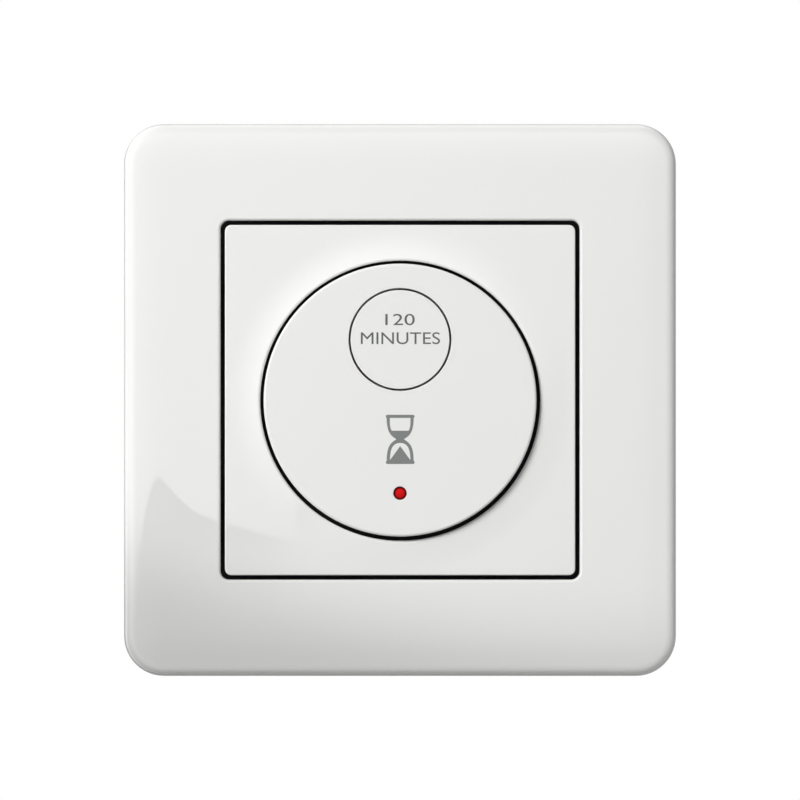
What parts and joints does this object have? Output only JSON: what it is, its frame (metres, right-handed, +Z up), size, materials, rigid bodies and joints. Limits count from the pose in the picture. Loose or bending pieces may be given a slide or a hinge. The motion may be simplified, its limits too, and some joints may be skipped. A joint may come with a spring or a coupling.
{
  "type": "timer light switch",
  "caption": "Square flush wall switch with a round front, a small push key that starts a light timer and a red indicator lens, on an electronic insert with claws.",
  "frame": {"origin": "centre of the switch on the wall's face, midway between the box screws", "axes": "+Z up, +X to the viewer's right, the front faces -Y and +Y runs into the wall box"},
  "size_m": [0.0868, 0.039, 0.0868],
  "materials": {
    "gloss_white": "glossy moulded",
    "red_lens": "clear red",
    "grey_plastic": "fine moulded grain",
    "board_green": "solder mask",
    "black_plastic": "moulded",
    "ivory_plastic": "moulded",
    "spring_steel": "drawn wire",
    "black_steel": "matte black coating",
    "zinc_steel": "zinc plated",
    "contact_brass": "tinned edges",
    "relay_blue": "moulded",
    "film_yellow": "moulded box",
    "can_sleeve": "shrink sleeve"
  },
  "bodies": {
    "wall_unit": {"cover_frame": "gloss_white", "centre_plate": "gloss_white", "front_disc": "gloss_white", "light_pipe": "red_lens", "key_spring": "spring_steel", "front_housing": "black_plastic", "control_board": "board_green", "tact_switch": "black_plastic", "indicator_led": "ivory_plastic", "timer_chip": "black_plastic", "chip_resistors": "black_plastic", "support_plate": "black_steel", "housing_screws": "zinc_steel", "pin_strip": "black_plastic", "strip_pins": "contact_brass", "main_board": "board_green", "relay": "relay_blue", "film_capacitor": "film_yellow", "smoothing_capacitors": "can_sleeve", "varistor": "relay_blue", "fuse": "black_plastic", "terminal_block": "ivory_plastic", "contact_bars": "contact_brass", "rear_housing": "grey_plastic"},
    "start_key": {"start_key": "gloss_white"},
    "tact_plunger": {"tact_plunger": "ivory_plastic"},
    "terminal_screw_left": {"terminal_screw_left": "zinc_steel"},
    "terminal_cage_left": {"terminal_cage_left": "zinc_steel"},
    "terminal_screw_middle": {"terminal_screw_middle": "zinc_steel"},
    "terminal_cage_middle": {"terminal_cage_middle": "zinc_steel"},
    "terminal_screw_right": {"terminal_screw_right": "zinc_steel"},
    "terminal_cage_right": {"terminal_cage_right": "zinc_steel"},
    "claw_screw_left": {"claw_screw_left": "zinc_steel"},
    "claw_left": {"claw_left": "zinc_steel"},
    "claw_screw_right": {"claw_screw_right": "zinc_steel"},
    "claw_right": {"claw_right": "zinc_steel"}
  },
  "joints": [
    {"name": "key_press", "type": "slide", "parent": "wall_unit", "child": "start_key", "axis": [0, 1, 0], "range_m": [0, 0.0008], "stiffness_N_per_m": 1200, "springref_m": -0.001, "deforming": ["key_spring"]},
    {"name": "plunger_press", "type": "slide", "parent": "wall_unit", "child": "tact_plunger", "axis": [0, 1, 0], "range_m": [0, 0.0008]},
    {"name": "terminal_screw_left_turn", "type": "hinge", "parent": "wall_unit", "child": "terminal_screw_left", "pos_m": [-0.0075, 0.0251, -0.0167], "axis": [0, -1, 0], "range_deg": [0, 1440]},
    {"name": "terminal_cage_left_rise", "type": "slide", "parent": "wall_unit", "child": "terminal_cage_left", "axis": [0, 1, 0], "range_m": [0, 0.002]},
    {"name": "terminal_screw_middle_turn", "type": "hinge", "parent": "wall_unit", "child": "terminal_screw_middle", "pos_m": [0, 0.0251, -0.0167], "axis": [0, -1, 0], "range_deg": [0, 1440]},
    {"name": "terminal_cage_middle_rise", "type": "slide", "parent": "wall_unit", "child": "terminal_cage_middle", "axis": [0, 1, 0], "range_m": [0, 0.002]},
    {"name": "terminal_screw_right_turn", "type": "hinge", "parent": "wall_unit", "child": "terminal_screw_right", "pos_m": [0.0075, 0.0251, -0.0167], "axis": [0, -1, 0], "range_deg": [0, 1440]},
    {"name": "terminal_cage_right_rise", "type": "slide", "parent": "wall_unit", "child": "terminal_cage_right", "axis": [0, 1, 0], "range_m": [0, 0.002]},
    {"name": "claw_screw_left_turn", "type": "hinge", "parent": "wall_unit", "child": "claw_screw_left", "pos_m": [-0.0236, 0, -0.008], "axis": [0, 1, 0], "range_deg": [0, 1800]},
    {"name": "claw_left_swing", "type": "hinge", "parent": "wall_unit", "child": "claw_left", "pos_m": [-0.0236, 0.00575, -0.008], "axis": [0, 0, 1], "range_deg": [0, 22]},
    {"name": "claw_screw_right_turn", "type": "hinge", "parent": "wall_unit", "child": "claw_screw_right", "pos_m": [0.0236, 0, 0.008], "axis": [0, 1, 0], "range_deg": [0, 1800]},
    {"name": "claw_right_swing", "type": "hinge", "parent": "wall_unit", "child": "claw_right", "pos_m": [0.0236, 0.00575, 0.008], "axis": [0, 0, -1], "range_deg": [0, 22]}
  ],
  "couplings": [
    {"joint": "plunger_press", "follows": "key_press", "ratio": 1},
    {"joint": "terminal_screw_left_turn", "follows": "terminal_cage_left_rise", "rad_per_m": 12566},
    {"joint": "terminal_screw_middle_turn", "follows": "terminal_cage_middle_rise", "rad_per_m": 12566},
    {"joint": "terminal_screw_right_turn", "follows": "terminal_cage_right_rise", "rad_per_m": 12566},
    {"joint": "claw_left_swing", "follows": "claw_screw_left_turn", "ratio": 0.012222},
    {"joint": "claw_right_swing", "follows": "claw_screw_right_turn", "ratio": 0.012222}
  ]
}
